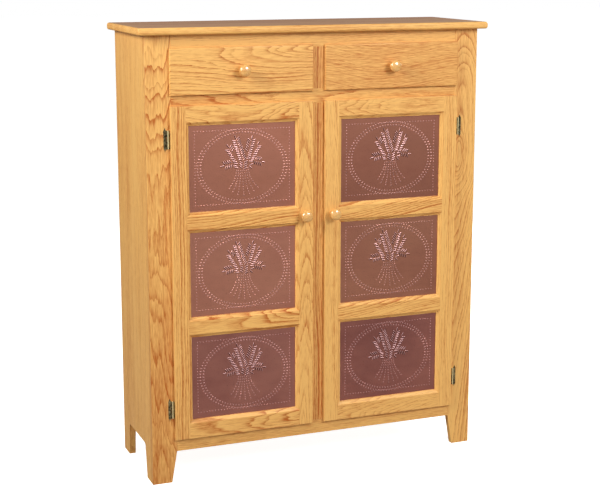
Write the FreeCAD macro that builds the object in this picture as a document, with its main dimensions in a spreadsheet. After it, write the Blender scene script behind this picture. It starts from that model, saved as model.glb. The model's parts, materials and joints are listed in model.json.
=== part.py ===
import FreeCAD, Part

import os
from types import SimpleNamespace

import Sketcher

# A freestanding oak pie safe: a face-framed cabinet on four bracket feet, two lipped doors with three
# copper panels each, and two lipped drawers above them. Millimetres. +Z is up, the front faces -Y, and
# the origin is at the middle of the floor under the whole object, knobs included.

DIMENSIONS = [
    # The carcass and its face frame.
    ("body_width", 1016, "across the side panels"),
    ("body_depth", 333, "face frame's front to the back"),
    ("body_height", 1284, "floor to the underside of the top board"),
    ("stock", 19, "planed board thickness"),
    ("top_thickness", 20.6, "top board"),
    ("top_side_overhang", 22.7, "top board past each side"),
    ("top_front_overhang", 25.5, "top board past the face frame"),
    ("top_edge_radius", 7, "rounding of the top board's edges"),
    ("top_corner_radius", 5, "rounding of the top board's front corners"),
    ("stile_width", 73, "face frame stile"),
    ("foot_width", 57, "face frame stile at the floor"),
    ("rail_width", 41.5, "face frame rail"),
    ("mullion_width", 48, "face frame mullion"),
    ("rail_clearance", 93, "floor to the bottom rail"),
    ("door_opening_top", 1082, "floor to the rail above the doors"),
    ("arch_height", 99.5, "floor to the side panel's cut-out"),
    ("front_leg_top", 80, "front leg's depth under the cut-out, face frame included"),
    ("front_leg_foot", 64.5, "front leg's depth at the floor"),
    ("rear_leg_top", 70, "rear leg's depth under the cut-out"),
    ("rear_leg_foot", 59.5, "rear leg's depth at the floor"),
    ("arch_radius", 12, "rounding of the cut-out's corners"),
    ("back_thickness", 6.5, "back panel"),
    ("back_rabbet", 9.5, "back panel's seat in each side panel"),
    # The inside.
    ("shelf_inset", 45, "face frame's front to a shelf's front edge"),
    ("lower_shelf_height", 447.5, "floor to the lower shelf's underside"),
    ("upper_shelf_height", 750, "floor to the upper shelf's underside"),
    ("shelf_play", 0.5, "gap at each end of a shelf"),
    ("guide_height", 30, "drawer guide"),
    ("guide_play", 1.5, "drawer guide to drawer side"),
    ("kicker_width", 60, "strip above each drawer"),
    # Doors and drawer fronts.
    ("lip_cover", 6, "how far a lip laps over the frame"),
    ("lip_inset", 9.5, "width of the rabbet behind a lip"),
    ("lip_gap", 1.2, "lip's back to the face frame"),
    ("face_proud", 9.5, "front of a door ahead of the face frame"),
    ("door_stile_width", 53, "moulding included"),
    ("door_end_rail_width", 55, "top and bottom rail, moulding included"),
    ("door_middle_rail_width", 58.5, "mouldings included"),
    ("moulding_width", 9.5, "stuck moulding round a panel"),
    ("moulding_step", 1, "square step at the top of the moulding"),
    ("moulding_fillet", 1.5, "flat at the foot of the moulding"),
    ("moulding_depth", 7, "face to the foot of the moulding"),
    ("panel_setback", 9.5, "door's face to a copper panel's face"),
    ("panel_lap", 8, "panel's seat behind the moulding"),
    ("panel_play", 0.5, "gap round a panel in its seat"),
    ("panel_thickness", 1, "copper sheet"),
    ("stop_depth", 7, "strip behind a panel"),
    ("front_edge_radius", 4, "rounding of a drawer front"),
    # Drawer boxes.
    ("drawer_play", 3.5, "drawer box to the frame at each side"),
    ("drawer_side_thickness", 12.5, "drawer side and back"),
    ("drawer_box_height", 112, "drawer side"),
    ("drawer_box_depth", 290, "drawer side, front to back"),
    ("drawer_lift", 1, "drawer side above the drawer deck"),
    ("drawer_bottom_thickness", 6.5, "drawer bottom"),
    ("drawer_bottom_rise", 12, "side's lower edge to the drawer bottom"),
    ("groove_depth", 6, "drawer bottom's seat in a side"),
    # Knobs.
    ("knob_radius", 17.5, "head of a knob"),
    ("knob_length", 30, "knob in front of the wood"),
    ("knob_foot_radius", 11, "flange against the wood"),
    ("knob_neck_radius", 7.5, "narrowest part"),
    ("knob_flange", 2.4, "thickness of the flange"),
    ("knob_neck_length", 9, "wood to the narrowest part"),
    ("knob_head_start", 18.6, "wood to the head's widest part"),
    ("knob_foot_curve", 12, "radius of the hollow between flange and neck"),
    ("knob_head_curve", 21, "radius of the hollow under the head"),
    ("knob_rim_curve", 10, "radius between the head's widest part and its face"),
    ("tenon_radius", 6, "knob's glued tenon"),
    ("tenon_length", 15, "knob's glued tenon"),
    ("tenon_play", 0.1, "gap round the tenon"),
    # Hinges, catches and screws.
    ("hinge_inset", 91, "end of a door to a hinge's middle"),
    ("hinge_offset", 6.5, "door's edge to the hinge axis"),
    ("knuckle_radius", 3.2, "outside of the barrel"),
    ("knuckle_bore", 1.55, "radius of the hole for the pin"),
    ("knuckle_play", 0.3, "gap between knuckles"),
    ("pin_radius", 1.5, "hinge pin"),
    ("pin_tip", 0.8, "pin past the barrel at each end"),
    ("barrel_length", 50.8, "three knuckles"),
    ("middle_knuckle", 16.8, "length of the door leaf's knuckle"),
    ("leaf_thickness", 1, "hinge plate"),
    ("frame_leaf_length", 73, "visible leaf with its pointed ends"),
    ("frame_leaf_sweep", 14.6, "radius of the curves at the leaf's ends"),
    ("frame_leaf_width", 11.5, "hinge axis to the leaf's outer edge"),
    ("frame_leaf_inner", 4, "hinge axis to the leaf's inner edge"),
    ("door_leaf_start", 3.6, "hinge axis to the door leaf's plate"),
    ("door_leaf_reach", 30, "door leaf behind the door"),
    ("door_leaf_overlap", 1, "how far the knuckle's tab runs into the leaf"),
    ("door_screw_inset", 18, "rabbet to the door leaf's screws"),
    ("screw_radius", 1.2, "screw shank"),
    ("screw_play", 0.15, "gap round a shank"),
    ("screw_head_radius", 2.4, "screw head"),
    ("screw_head_height", 1, "screw head"),
    ("screw_length", 10, "shank under the head"),
    ("screw_spread", 34, "between a leaf's two screws"),
    ("catch_width", 26, "magnetic catch beside the mullion"),
    ("catch_depth", 14, "magnetic catch, front to back"),
    ("catch_height", 44, "magnetic catch"),
    ("catch_middle", 605, "floor to the catch's middle"),
    ("catch_gap", 0.5, "catch to strike plate"),
    ("strike_thickness", 1, "strike plate"),
    ("strike_start", 4.5, "opening's edge to the strike plate"),
    ("strike_end", 23.4, "opening's edge to the strike plate's far edge"),
    ("strike_height", 35.2, "strike plate"),
    # Cuts run past what they cut by this much.
    ("cut_margin", 1, "tool past the wood"),
]

MIRRORED = FreeCAD.Rotation(FreeCAD.Vector(0, 1, 0), 180)
TURNED = FreeCAD.Rotation(FreeCAD.Vector(0, 0, 1), 180)
FORWARD = FreeCAD.Rotation(FreeCAD.Vector(1, 0, 0), 90)
BACKWARD = FreeCAD.Rotation(FreeCAD.Vector(1, 0, 0), -90)
UNTURNED = FreeCAD.Rotation()


class Size:
    """A length that carries its number and the spreadsheet expression it comes from."""

    def __init__(self, number, words):
        self.number = number
        self.words = words

    @staticmethod
    def of(value):
        return value if isinstance(value, Size) else Size(value, repr(value))

    def joined(self, sign, other, number):
        return Size(number, f"({self.words} {sign} {other.words})")

    def __add__(self, value):
        other = Size.of(value)
        return self.joined("+", other, self.number + other.number)

    def __sub__(self, value):
        other = Size.of(value)
        return self.joined("-", other, self.number - other.number)

    def __mul__(self, value):
        other = Size.of(value)
        return self.joined("*", other, self.number * other.number)

    def __truediv__(self, value):
        other = Size.of(value)
        return self.joined("/", other, self.number / other.number)

    def __radd__(self, value):
        return Size.of(value) + self

    def __rsub__(self, value):
        return Size.of(value) - self

    def __rmul__(self, value):
        return Size.of(value) * self

    def __neg__(self):
        return 0 - self


doc = FreeCAD.newDocument("PieSafe")
sheet = doc.addObject("Spreadsheet::Sheet", "Dimensions")
for row, (name, number, note) in enumerate(DIMENSIONS, start=1):
    sheet.set(f"A{row}", note)
    sheet.set(f"B{row}", str(number))
    sheet.setAlias(f"B{row}", name)
doc.recompute()
d = SimpleNamespace(**{name: Size(sheet.get(name), f"Dimensions.{name}") for name, _, _ in DIMENSIONS})

nodes = []


# ---------------------------------------------------------------- building blocks


def bind(thing, **sizes):
    for name, size in sizes.items():
        thing.setExpression(name, Size.of(size).words)


def place(thing, at, rotation=UNTURNED):
    thing.Placement = FreeCAD.Placement(FreeCAD.Vector(*[Size.of(size).number for size in at]), rotation)
    for axis, size in zip("xyz", at):
        thing.setExpression(f"Placement.Base.{axis}", Size.of(size).words)


def node(thing, label):
    """Marks a finished sub-part: its label names its file."""
    thing.Label = label
    nodes.append(thing)
    return thing


def box(x, y, z, name="Board"):
    """A board between two places along each axis, each given as (low, high)."""
    board = doc.addObject("Part::Box", name)
    bind(board, Length=x[1] - x[0], Width=y[1] - y[0], Height=z[1] - z[0])
    place(board, (x[0], y[0], z[0]))
    return board


def rod(radius, length, at, rotation=UNTURNED, name="Rod"):
    cylinder = doc.addObject("Part::Cylinder", name)
    bind(cylinder, Radius=radius, Height=length)
    place(cylinder, at, rotation)
    return cylinder


def group(parts, name="Group"):
    """Separate solids that share one node."""
    compound = doc.addObject("Part::Compound", name)
    compound.Links = parts
    return compound


def fused(parts, name="Joined"):
    whole = doc.addObject("Part::MultiFuse", name)
    whole.Shapes = parts
    return whole


def cut(base, tools, name="Trimmed"):
    """The base less every tool. Tools that cut nothing would be a mistake, so the volume is compared."""
    result = doc.addObject("Part::Cut", name)
    result.Base = base
    result.Tool = tools[0] if len(tools) == 1 else group(tools, "Tools")
    doc.recompute()
    if result.Shape.Volume > base.Shape.Volume - 1:
        raise ValueError(f"{base.Label}: a cut removed nothing")
    return result


def new_body(name):
    return doc.addObject("PartDesign::Body", name)


def plane(body, role):
    return next(feature for feature in body.Origin.OriginFeatures if feature.Role == role)


def outline(body, role, corners, offset=0):
    """A closed sketch through corners given as (x, y) or (x, y, radius). A radius rounds the side that
    follows, bulging to the left of its direction where positive and to the right where negative. Each
    corner is held by two distances from the origin."""
    sketch = body.newObject("Sketcher::SketchObject", "Outline")
    sketch.AttachmentSupport = [(plane(body, role), "")]
    sketch.MapMode = "FlatFace"
    sketch.AttachmentOffset = FreeCAD.Placement(FreeCAD.Vector(0, 0, Size.of(offset).number), UNTURNED)
    sketch.setExpression("AttachmentOffset.Base.z", Size.of(offset).words)
    sizes = [[Size.of(size) for size in corner] for corner in corners]
    points = [FreeCAD.Vector(corner[0].number, corner[1].number, 0) for corner in sizes]
    starts = []
    for number, corner in enumerate(sizes):
        start, end = points[number], points[(number + 1) % len(points)]
        if len(corner) == 2:
            index = sketch.addGeometry(Part.LineSegment(start, end))
            starts.append((index, 1, 2))
            continue
        radius = corner[2].number
        half = (end - start) * 0.5
        left = FreeCAD.Vector(-half.y, half.x, 0).normalize()
        inset = (radius**2 - half.Length**2) ** 0.5
        backwards = radius > 0
        centre = start + half + left * (-inset if backwards else inset)
        circle = Part.Circle(centre, FreeCAD.Vector(0, 0, 1), abs(radius))
        ends = (end, start) if backwards else (start, end)
        turns = [circle.parameter(point) for point in ends]
        index = sketch.addGeometry(Part.ArcOfCircle(circle, *turns))
        held = sketch.addConstraint(Sketcher.Constraint("Radius", index, abs(radius)))
        words = corner[2].words if backwards else (-corner[2]).words
        sketch.setExpression(f"Constraints[{held}]", words)
        starts.append((index, 2, 1) if backwards else (index, 1, 2))
    for number, (index, first, last) in enumerate(starts):
        following, begins, _ = starts[(number + 1) % len(starts)]
        sketch.addConstraint(Sketcher.Constraint("Coincident", index, last, following, begins))
    for number, (index, first, _) in enumerate(starts):
        for kind, size in (("DistanceX", sizes[number][0]), ("DistanceY", sizes[number][1])):
            held = sketch.addConstraint(Sketcher.Constraint(kind, -1, 1, index, first, size.number))
            sketch.setExpression(f"Constraints[{held}]", size.words)
    return sketch


def pad(body, sketch, length, reverse=False):
    feature = body.newObject("PartDesign::Pad", "Pad")
    feature.Profile = sketch
    bind(feature, Length=length)
    feature.Reversed = reverse
    doc.recompute()
    return feature


def extruded(role, corners, length, offset=0, reverse=False, name="Shape"):
    body = new_body(name)
    pad(body, outline(body, role, corners, offset), length, reverse)
    return body


def rounded(body, radius, wanted):
    """Fillets the edges of the body's last feature for which wanted(start, end) is true."""
    base = body.Tip
    names = []
    for number, edge in enumerate(base.Shape.Edges, start=1):
        ends = [vertex.Point for vertex in edge.Vertexes]
        if len(ends) == 2 and wanted(*ends):
            names.append(f"Edge{number}")
    fillet = body.newObject("PartDesign::Fillet", "Rounding")
    fillet.Base = (base, names)
    bind(fillet, Radius=radius)
    doc.recompute()
    return fillet


def near(a, b):
    return abs(a - b) < 0.01


# ---------------------------------------------------------------- places shared by several sub-parts

half_width = d.body_width / 2
front = (d.face_proud + d.knob_length - d.body_depth) / 2
back = front + d.body_depth
frame_back = front + d.stock
back_panel_front = back - d.back_thickness
inner_half = half_width - d.stock
opening_outer = half_width - d.stile_width
opening_inner = d.mullion_width / 2
bottom_opening = d.rail_clearance + d.rail_width
drawer_opening_bottom = d.door_opening_top + d.rail_width
drawer_opening_top = d.body_height - d.rail_width

leaf_width = opening_outer - opening_inner + d.lip_cover * 2
leaf_outer = opening_outer + d.lip_cover
leaf_inner = opening_inner - d.lip_cover
door_bottom = bottom_opening - d.lip_cover
door_height = d.door_opening_top + d.lip_cover - door_bottom
face = front - d.face_proud
lip_thickness = d.face_proud - d.lip_gap
pane_height = (door_height - d.door_end_rail_width * 2 - d.door_middle_rail_width * 2) / 3
pane_width = leaf_width - d.door_stile_width * 2
hinge_x = leaf_outer + d.hinge_offset
hinge_y = front - d.knuckle_radius
hinge_heights = (door_bottom + d.hinge_inset, door_bottom + door_height - d.hinge_inset)
door_back = face + d.stock

SIDES = (("left", -1), ("right", 1))


def span(side, outer, inner):
    """The range along X between two distances from the middle, on the left (-1) or the right (1)."""
    return (-outer, -inner) if side < 0 else (inner, outer)


# ---------------------------------------------------------------- cabinet


def make_top_board():
    half = half_width + d.top_side_overhang
    edge = front - d.top_front_overhang
    corners = [(-half, edge), (half, edge), (half, back), (-half, back)]
    body = extruded("XY_Plane", corners, d.top_thickness, offset=d.body_height, name="TopBoard")
    y = edge.number

    def front_corner(start, end):
        return near(start.y, y) and near(end.y, y) and near(start.x, end.x)

    rounded(body, d.top_corner_radius, front_corner)
    levels = (d.body_height.number, (d.body_height + d.top_thickness).number)
    rear = back.number

    def outer_edge(start, end):
        level = near(start.z, end.z) and any(near(start.z, z) for z in levels)
        return level and not (near(start.y, rear) and near(end.y, rear))

    rounded(body, d.top_edge_radius, outer_edge)
    node(body, "top_board")


def make_side_panel(side_name, side):
    rear_low = d.body_depth - d.rear_leg_foot
    rear_high = d.body_depth - d.rear_leg_top
    corners = [
        (d.stock, 0),
        (d.front_leg_foot, 0),
        (d.front_leg_top, d.arch_height),
        (rear_high, d.arch_height),
        (rear_low, 0),
        (d.body_depth, 0),
        (d.body_depth, d.body_height),
        (d.stock, d.body_height),
    ]
    body = extruded("YZ_Plane", corners, d.stock, name="SidePanel")
    arch = d.arch_height.number

    def arch_corner(start, end):
        return near(start.z, arch) and near(end.z, arch) and near(start.y, end.y)

    rounded(body, d.arch_radius, arch_corner)
    x = span(side, half_width, inner_half)
    place(body, (x[0], front, 0))
    seat = box(
        span(side, inner_half + d.back_rabbet, inner_half),
        (back_panel_front, back),
        (d.rail_clearance, d.body_height),
        name="Rabbet",
    )
    node(cut(body, [seat]), f"side_panel_{side_name}")


def make_face_stile(side_name, side, holes):
    corners = [
        (0, 0),
        (d.foot_width, 0),
        (d.stile_width, d.rail_clearance),
        (d.stile_width, d.body_height),
        (0, d.body_height),
    ]
    body = extruded("XZ_Plane", corners, d.stock, name="Stile")
    if side < 0:
        place(body, (-half_width, frame_back, 0))
    else:
        place(body, (half_width, front, 0), TURNED)
    node(cut(body, holes), f"stile_{side_name}")


def make_face_rails():
    width = (-opening_outer, opening_outer)
    depth = (front, frame_back)
    heights = {
        "top_rail": (drawer_opening_top, d.body_height),
        "middle_rail": (d.door_opening_top, drawer_opening_bottom),
        "bottom_rail": (d.rail_clearance, bottom_opening),
    }
    for label, height in heights.items():
        node(box(width, depth, height), label)
    middle = (-opening_inner, opening_inner)
    node(box(middle, depth, (drawer_opening_bottom, drawer_opening_top)), "drawer_mullion")
    node(box(middle, depth, (bottom_opening, d.door_opening_top)), "door_mullion")


def make_carcass_boards():
    width = (-inner_half, inner_half)
    depth = (frame_back, back_panel_front)
    node(box(width, depth, (bottom_opening - d.stock, bottom_opening)), "bottom_board")
    node(box(width, depth, (drawer_opening_bottom - d.stock, drawer_opening_bottom)), "drawer_deck")
    seat = inner_half + d.back_rabbet
    node(box((-seat, seat), (back_panel_front, back), (d.rail_clearance, d.body_height)), "back_panel")
    rail_depth = (back_panel_front - d.stock, back_panel_front)
    lower = box(width, rail_depth, (d.rail_clearance, bottom_opening - d.stock))
    upper = box(width, rail_depth, (drawer_opening_top, d.body_height))
    node(group([lower, upper]), "back_rails")


def make_shelves():
    half = inner_half - d.shelf_play
    depth = (front + d.shelf_inset, back_panel_front - d.shelf_play)
    cleats = []
    for label, height in (("lower_shelf", d.lower_shelf_height), ("upper_shelf", d.upper_shelf_height)):
        node(box((-half, half), depth, (height, height + d.stock)), label)
        for _, side in SIDES:
            width = span(side, inner_half, inner_half - d.stock)
            cleats.append(box(width, depth, (height - d.stock, height)))
    node(group(cleats), "shelf_cleats")


def make_drawer_guides():
    depth = (frame_back, back_panel_front)
    height = (drawer_opening_bottom, drawer_opening_bottom + d.guide_height)
    reach = d.drawer_play - d.guide_play
    guides = [box(span(side, inner_half, opening_outer - reach), depth, height) for _, side in SIDES]
    guides.append(box((-opening_inner - reach, opening_inner + reach), depth, height))
    node(group(guides), "drawer_guides")
    middle = (opening_outer + opening_inner) / 2
    kicker_depth = (frame_back, back_panel_front - d.stock)
    kicker_height = (drawer_opening_top, d.body_height)
    kickers = []
    for _, side in SIDES:
        width = span(side, middle + d.kicker_width / 2, middle - d.kicker_width / 2)
        kickers.append(box(width, kicker_depth, kicker_height))
    node(group(kickers), "drawer_kickers")


def make_catches():
    depth_start = door_back + d.strike_thickness + d.catch_gap
    depth = (depth_start, depth_start + d.catch_depth)
    height = (d.catch_middle - d.catch_height / 2, d.catch_middle + d.catch_height / 2)
    widths = [span(side, opening_inner + d.catch_width, opening_inner) for _, side in SIDES]
    node(group([box(width, depth, height) for width in widths]), "door_catches")


# ---------------------------------------------------------------- hinges


def hinge_places(side):
    """The origin of each hinge of a door, which is the middle of its axis."""
    return [(hinge_x * side, hinge_y, height) for height in hinge_heights]


def leaf_turn(side):
    """Leaves are drawn for the left door and turned about Y for the right one."""
    return UNTURNED if side < 0 else MIRRORED


def knuckle(body, low, high):
    part = body.newObject("PartDesign::AdditiveCylinder", "Knuckle")
    bind(part, Radius=d.knuckle_radius, Height=high - low)
    place(part, (0, 0, low))
    doc.recompute()


def bored(body):
    hole = body.newObject("PartDesign::SubtractiveCylinder", "Bore")
    bind(hole, Radius=d.knuckle_bore, Height=d.barrel_length + d.cut_margin * 2)
    place(hole, (0, 0, -(d.barrel_length / 2 + d.cut_margin)))
    doc.recompute()
    return body


def frame_leaf(at, turn):
    """The visible leaf: a narrow plate with a pointed, curved end above and below, and two knuckles."""
    half_barrel = d.barrel_length / 2
    half_leaf = d.frame_leaf_length / 2
    notch = d.middle_knuckle / 2 + d.knuckle_play
    outer = -d.frame_leaf_width
    inner = -d.frame_leaf_inner
    tip = (outer + inner) / 2
    sweep = d.frame_leaf_sweep
    corners = [
        (outer, -half_barrel, sweep),
        (tip, -half_leaf, sweep),
        (inner, -half_barrel),
        (0, -half_barrel),
        (0, -notch),
        (inner, -notch),
        (inner, notch),
        (0, notch),
        (0, half_barrel),
        (inner, half_barrel, sweep),
        (tip, half_leaf, sweep),
        (outer, half_barrel),
    ]
    body = extruded("XZ_Plane", corners, d.leaf_thickness, offset=-d.knuckle_radius, name="FrameLeaf")
    knuckle(body, notch, half_barrel)
    knuckle(body, -half_barrel, -notch)
    bored(body)
    place(body, at, turn)
    return body


def door_leaf(at, turn):
    """The hidden leaf: behind the door's lip, back along the rabbet and across the door's back."""
    half_barrel = d.barrel_length / 2
    half_knuckle = d.middle_knuckle / 2
    lip_back = d.knuckle_radius - d.lip_gap
    rabbet = d.hinge_offset + d.lip_inset
    rear = lip_back - lip_thickness + d.stock
    sheet = d.leaf_thickness
    body = new_body("DoorLeaf")
    corners = [
        (d.door_leaf_start, lip_back),
        (rabbet, lip_back),
        (rabbet, rear),
        (rabbet + d.door_leaf_reach, rear),
        (rabbet + d.door_leaf_reach, rear + sheet),
        (rabbet - sheet, rear + sheet),
        (rabbet - sheet, lip_back + sheet),
        (d.door_leaf_start, lip_back + sheet),
    ]
    pad(body, outline(body, "XY_Plane", corners, offset=-half_barrel), d.barrel_length)
    tab = body.newObject("PartDesign::AdditiveBox", "Tab")
    bind(tab, Length=d.door_leaf_start + d.door_leaf_overlap, Width=sheet, Height=d.middle_knuckle)
    place(tab, (0, lip_back, -half_knuckle))
    doc.recompute()
    knuckle(body, -half_knuckle, half_knuckle)
    bored(body)
    place(body, at, turn)
    return body


def screw(at, turn):
    """A round-head screw: the head's underside is at the place and the shank runs along turned +Z."""
    head = rod(d.screw_head_radius, d.screw_head_height, (0, 0, -d.screw_head_height), name="Head")
    shank = rod(d.screw_radius, d.screw_length, (0, 0, 0), name="Shank")
    whole = fused([head, shank], "Screw")
    place(whole, at, turn)
    return whole


def screw_hole(at, turn):
    """The hole that a screw at the same place runs in."""
    reach = d.screw_length + d.screw_play
    hole = rod(d.screw_radius + d.screw_play, reach, at, turn, name="Drill")
    return hole


def frame_screw_places(side):
    across = (hinge_x + (d.frame_leaf_width + d.frame_leaf_inner) / 2) * side
    lift = d.screw_spread / 2
    y = front - d.leaf_thickness
    return [(across, y, height + shift) for height in hinge_heights for shift in (-lift, lift)]


def door_screw_places(side):
    across = (leaf_outer - d.lip_inset - d.door_screw_inset) * side
    lift = d.screw_spread / 2
    y = door_back + d.leaf_thickness
    return [(across, y, height + shift) for height in hinge_heights for shift in (-lift, lift)]


def make_cabinet_hinges():
    leaves = []
    pins = []
    screws = []
    for name, side in SIDES:
        places = frame_screw_places(side)
        make_face_stile(name, side, [screw_hole(at, BACKWARD) for at in places])
        for index, at in enumerate(hinge_places(side)):
            own = places[2 * index : 2 * index + 2]
            drills = [screw_hole(hole, BACKWARD) for hole in own]
            leaves.append(cut(frame_leaf(at, leaf_turn(side)), drills))
            length = d.barrel_length + d.pin_tip * 2
            pins.append(rod(d.pin_radius, length, (at[0], at[1], at[2] - length / 2), name="Pin"))
        screws += [screw(at, BACKWARD) for at in places]
    node(group(leaves), "hinge_frame_leaves")
    node(group(pins), "hinge_pins")
    node(group(screws), "hinge_screws")


# ---------------------------------------------------------------- doors


def moulding(x, toward):
    """Corners of the stuck moulding and the panel's rabbet, from the face at x, inwards or outwards."""
    return [
        (x - d.moulding_width * toward, 0),
        (x - d.moulding_width * toward, d.moulding_step),
        (x - d.moulding_fillet * toward, d.moulding_depth),
        (x, d.moulding_depth),
        (x, d.panel_setback),
        (x - d.panel_lap * toward, d.panel_setback),
        (x - d.panel_lap * toward, d.stock),
    ]


def lipped_section(width):
    """Section of a door member with a lip along one edge and a moulding along the other."""
    lip = [
        (d.lip_inset, d.stock),
        (d.lip_inset, lip_thickness),
        (0, lip_thickness),
        (0, 0),
    ]
    return lip + moulding(width, 1)


def door_stile(x, turn):
    """Drawn with its lip at the left. Its ends are rabbeted too, because the lip runs round the door."""
    body = extruded("XY_Plane", lipped_section(d.door_stile_width), door_height, name="DoorStile")
    past = d.cut_margin
    across = (-past, d.door_stile_width + past)
    depth = (lip_thickness, d.stock + past)
    lower = box(across, depth, (-past, d.lip_inset))
    upper = box(across, depth, (door_height - d.lip_inset, door_height + past))
    trimmed = cut(body, [lower, upper], "StileEnds")
    lift = door_bottom if turn is UNTURNED else door_bottom + door_height
    place(trimmed, (x, face, lift), turn)
    return trimmed


def door_rail(section, x, z, turn):
    """Drawn along +X between the stiles' flat faces."""
    length = leaf_width - (d.door_stile_width - d.moulding_width) * 2
    body = extruded("YZ_Plane", section, length, name="DoorRail")
    place(body, (x, face, z), turn)
    return body


def make_knob(label, at):
    """A turned mushroom knob with a tenon, drawn upright and laid to point forwards."""
    body = new_body("Knob")
    # The rim's arc runs smoothly into the face's, so their middles and the point where they meet are in line.
    rise = d.knob_length - d.knob_head_start
    rim = d.knob_rim_curve
    rim_middle = d.knob_radius - rim
    dome = (rim_middle * rim_middle + rise * rise - rim * rim) / ((rise - rim) * 2)
    reach = rim / (dome - rim)
    face_radius = rim_middle + rim_middle * reach
    face_start = d.knob_head_start + (dome - rise) * reach
    corners = [
        (0, -d.tenon_length),
        (d.tenon_radius, -d.tenon_length),
        (d.tenon_radius, 0),
        (d.knob_foot_radius, 0),
        (d.knob_foot_radius, d.knob_flange, d.knob_foot_curve),
        (d.knob_neck_radius, d.knob_neck_length, d.knob_head_curve),
        (d.knob_radius, d.knob_head_start, -rim),
        (face_radius, face_start, -dome),
        (0, d.knob_length),
    ]
    sketch = outline(body, "XZ_Plane", corners)
    turned = body.newObject("PartDesign::Revolution", "Turning")
    turned.Profile = sketch
    turned.ReferenceAxis = (sketch, ["V_Axis"])
    turned.Angle = 360
    doc.recompute()
    place(body, at, FORWARD)
    node(body, label)


def knob_socket(at):
    depth = d.tenon_length + d.tenon_play
    return rod(d.tenon_radius + d.tenon_play, depth, at, BACKWARD, name="Socket")


def make_panel_stops(name, left):
    """Four strips behind each panel: two uprights with two level strips between them."""
    rabbet = d.panel_lap - d.panel_play
    start = left + d.door_stile_width
    depth_start = face + d.panel_setback + d.panel_thickness
    depth = (depth_start, depth_start + d.stop_depth)
    strips = []
    for index in range(3):
        low = door_bottom + d.door_end_rail_width + (pane_height + d.door_middle_rail_width) * index
        high = low + pane_height
        whole = (low - rabbet, high + rabbet)
        strips.append(box((start - rabbet, start), depth, whole))
        strips.append(box((start + pane_width, start + pane_width + rabbet), depth, whole))
        across = (start, start + pane_width)
        strips.append(box(across, depth, (low - rabbet, low)))
        strips.append(box(across, depth, (high, high + rabbet)))
    node(group(strips), f"{name}_door_panel_stops")


def make_panels(name, left):
    rim = d.panel_lap - d.panel_play
    start = left + d.door_stile_width
    depth = (face + d.panel_setback, face + d.panel_setback + d.panel_thickness)
    for index, level in enumerate(("lower", "middle", "upper")):
        low = door_bottom + d.door_end_rail_width + (pane_height + d.door_middle_rail_width) * index
        width = (start - rim, start + pane_width + rim)
        node(box(width, depth, (low - rim, low + pane_height + rim)), f"{name}_door_{level}_panel")


def make_door(name, side):
    left = span(side, leaf_outer, leaf_inner)[0]
    right = left + leaf_width
    rail_pitch = pane_height + d.door_middle_rail_width
    upper_rail_bottom = door_bottom + d.door_end_rail_width + rail_pitch + pane_height
    knob_x = (leaf_inner + d.door_stile_width / 2) * side
    knob_at = (knob_x, face, upper_rail_bottom + d.door_middle_rail_width / 2)
    socket = knob_socket(knob_at)
    drills = [screw_hole(at, FORWARD) for at in door_screw_places(side)]
    plain = {"left": door_stile(left, UNTURNED), "right": door_stile(right, MIRRORED)}
    outer, inner = (plain["left"], plain["right"]) if side < 0 else (plain["right"], plain["left"])
    drilled_outer = cut(outer, drills)
    drilled_inner = cut(inner, [socket])
    node(drilled_outer, f"{name}_door_outer_stile")
    node(drilled_inner, f"{name}_door_inner_stile")

    start = left + d.door_stile_width - d.moulding_width
    end = right - d.door_stile_width + d.moulding_width
    section = [(y, z) for z, y in lipped_section(d.door_end_rail_width)]
    bottom = door_rail(section, start, door_bottom, UNTURNED)
    top = door_rail(section, end, door_bottom + door_height, MIRRORED)
    middle_width = d.door_middle_rail_width
    lower_edge = [(x, y) for x, y in moulding(0, -1)]
    upper_edge = moulding(middle_width, 1)
    middle_section = [(y, x) for x, y in upper_edge + lower_edge[::-1]]
    middles = []
    for index in (1, 2):
        step = pane_height * index + middle_width * (index - 1)
        lift = door_bottom + d.door_end_rail_width + step
        middles.append(door_rail(middle_section, start, lift, UNTURNED))
    stiles = [plain["left"], plain["right"]]
    node(cut(bottom, stiles), f"{name}_door_bottom_rail")
    node(cut(top, stiles), f"{name}_door_top_rail")
    node(group([cut(rail, stiles) for rail in middles]), f"{name}_door_middle_rails")

    make_panels(name, left)
    make_panel_stops(name, left)
    make_knob(f"{name}_door_knob", knob_at)
    leaves = []
    for index, at in enumerate(hinge_places(side)):
        own = door_screw_places(side)[2 * index : 2 * index + 2]
        leaves.append(cut(door_leaf(at, leaf_turn(side)), [screw_hole(hole, FORWARD) for hole in own]))
    node(group(leaves), f"{name}_door_hinge_leaves")
    node(group([screw(at, FORWARD) for at in door_screw_places(side)]), f"{name}_door_hinge_screws")
    strike_width = span(side, opening_inner + d.strike_end, opening_inner + d.strike_start)
    strike_depth = (door_back, door_back + d.strike_thickness)
    strike_height = (d.catch_middle - d.strike_height / 2, d.catch_middle + d.strike_height / 2)
    node(box(strike_width, strike_depth, strike_height), f"{name}_door_strike_plate")


# ---------------------------------------------------------------- drawers


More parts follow.
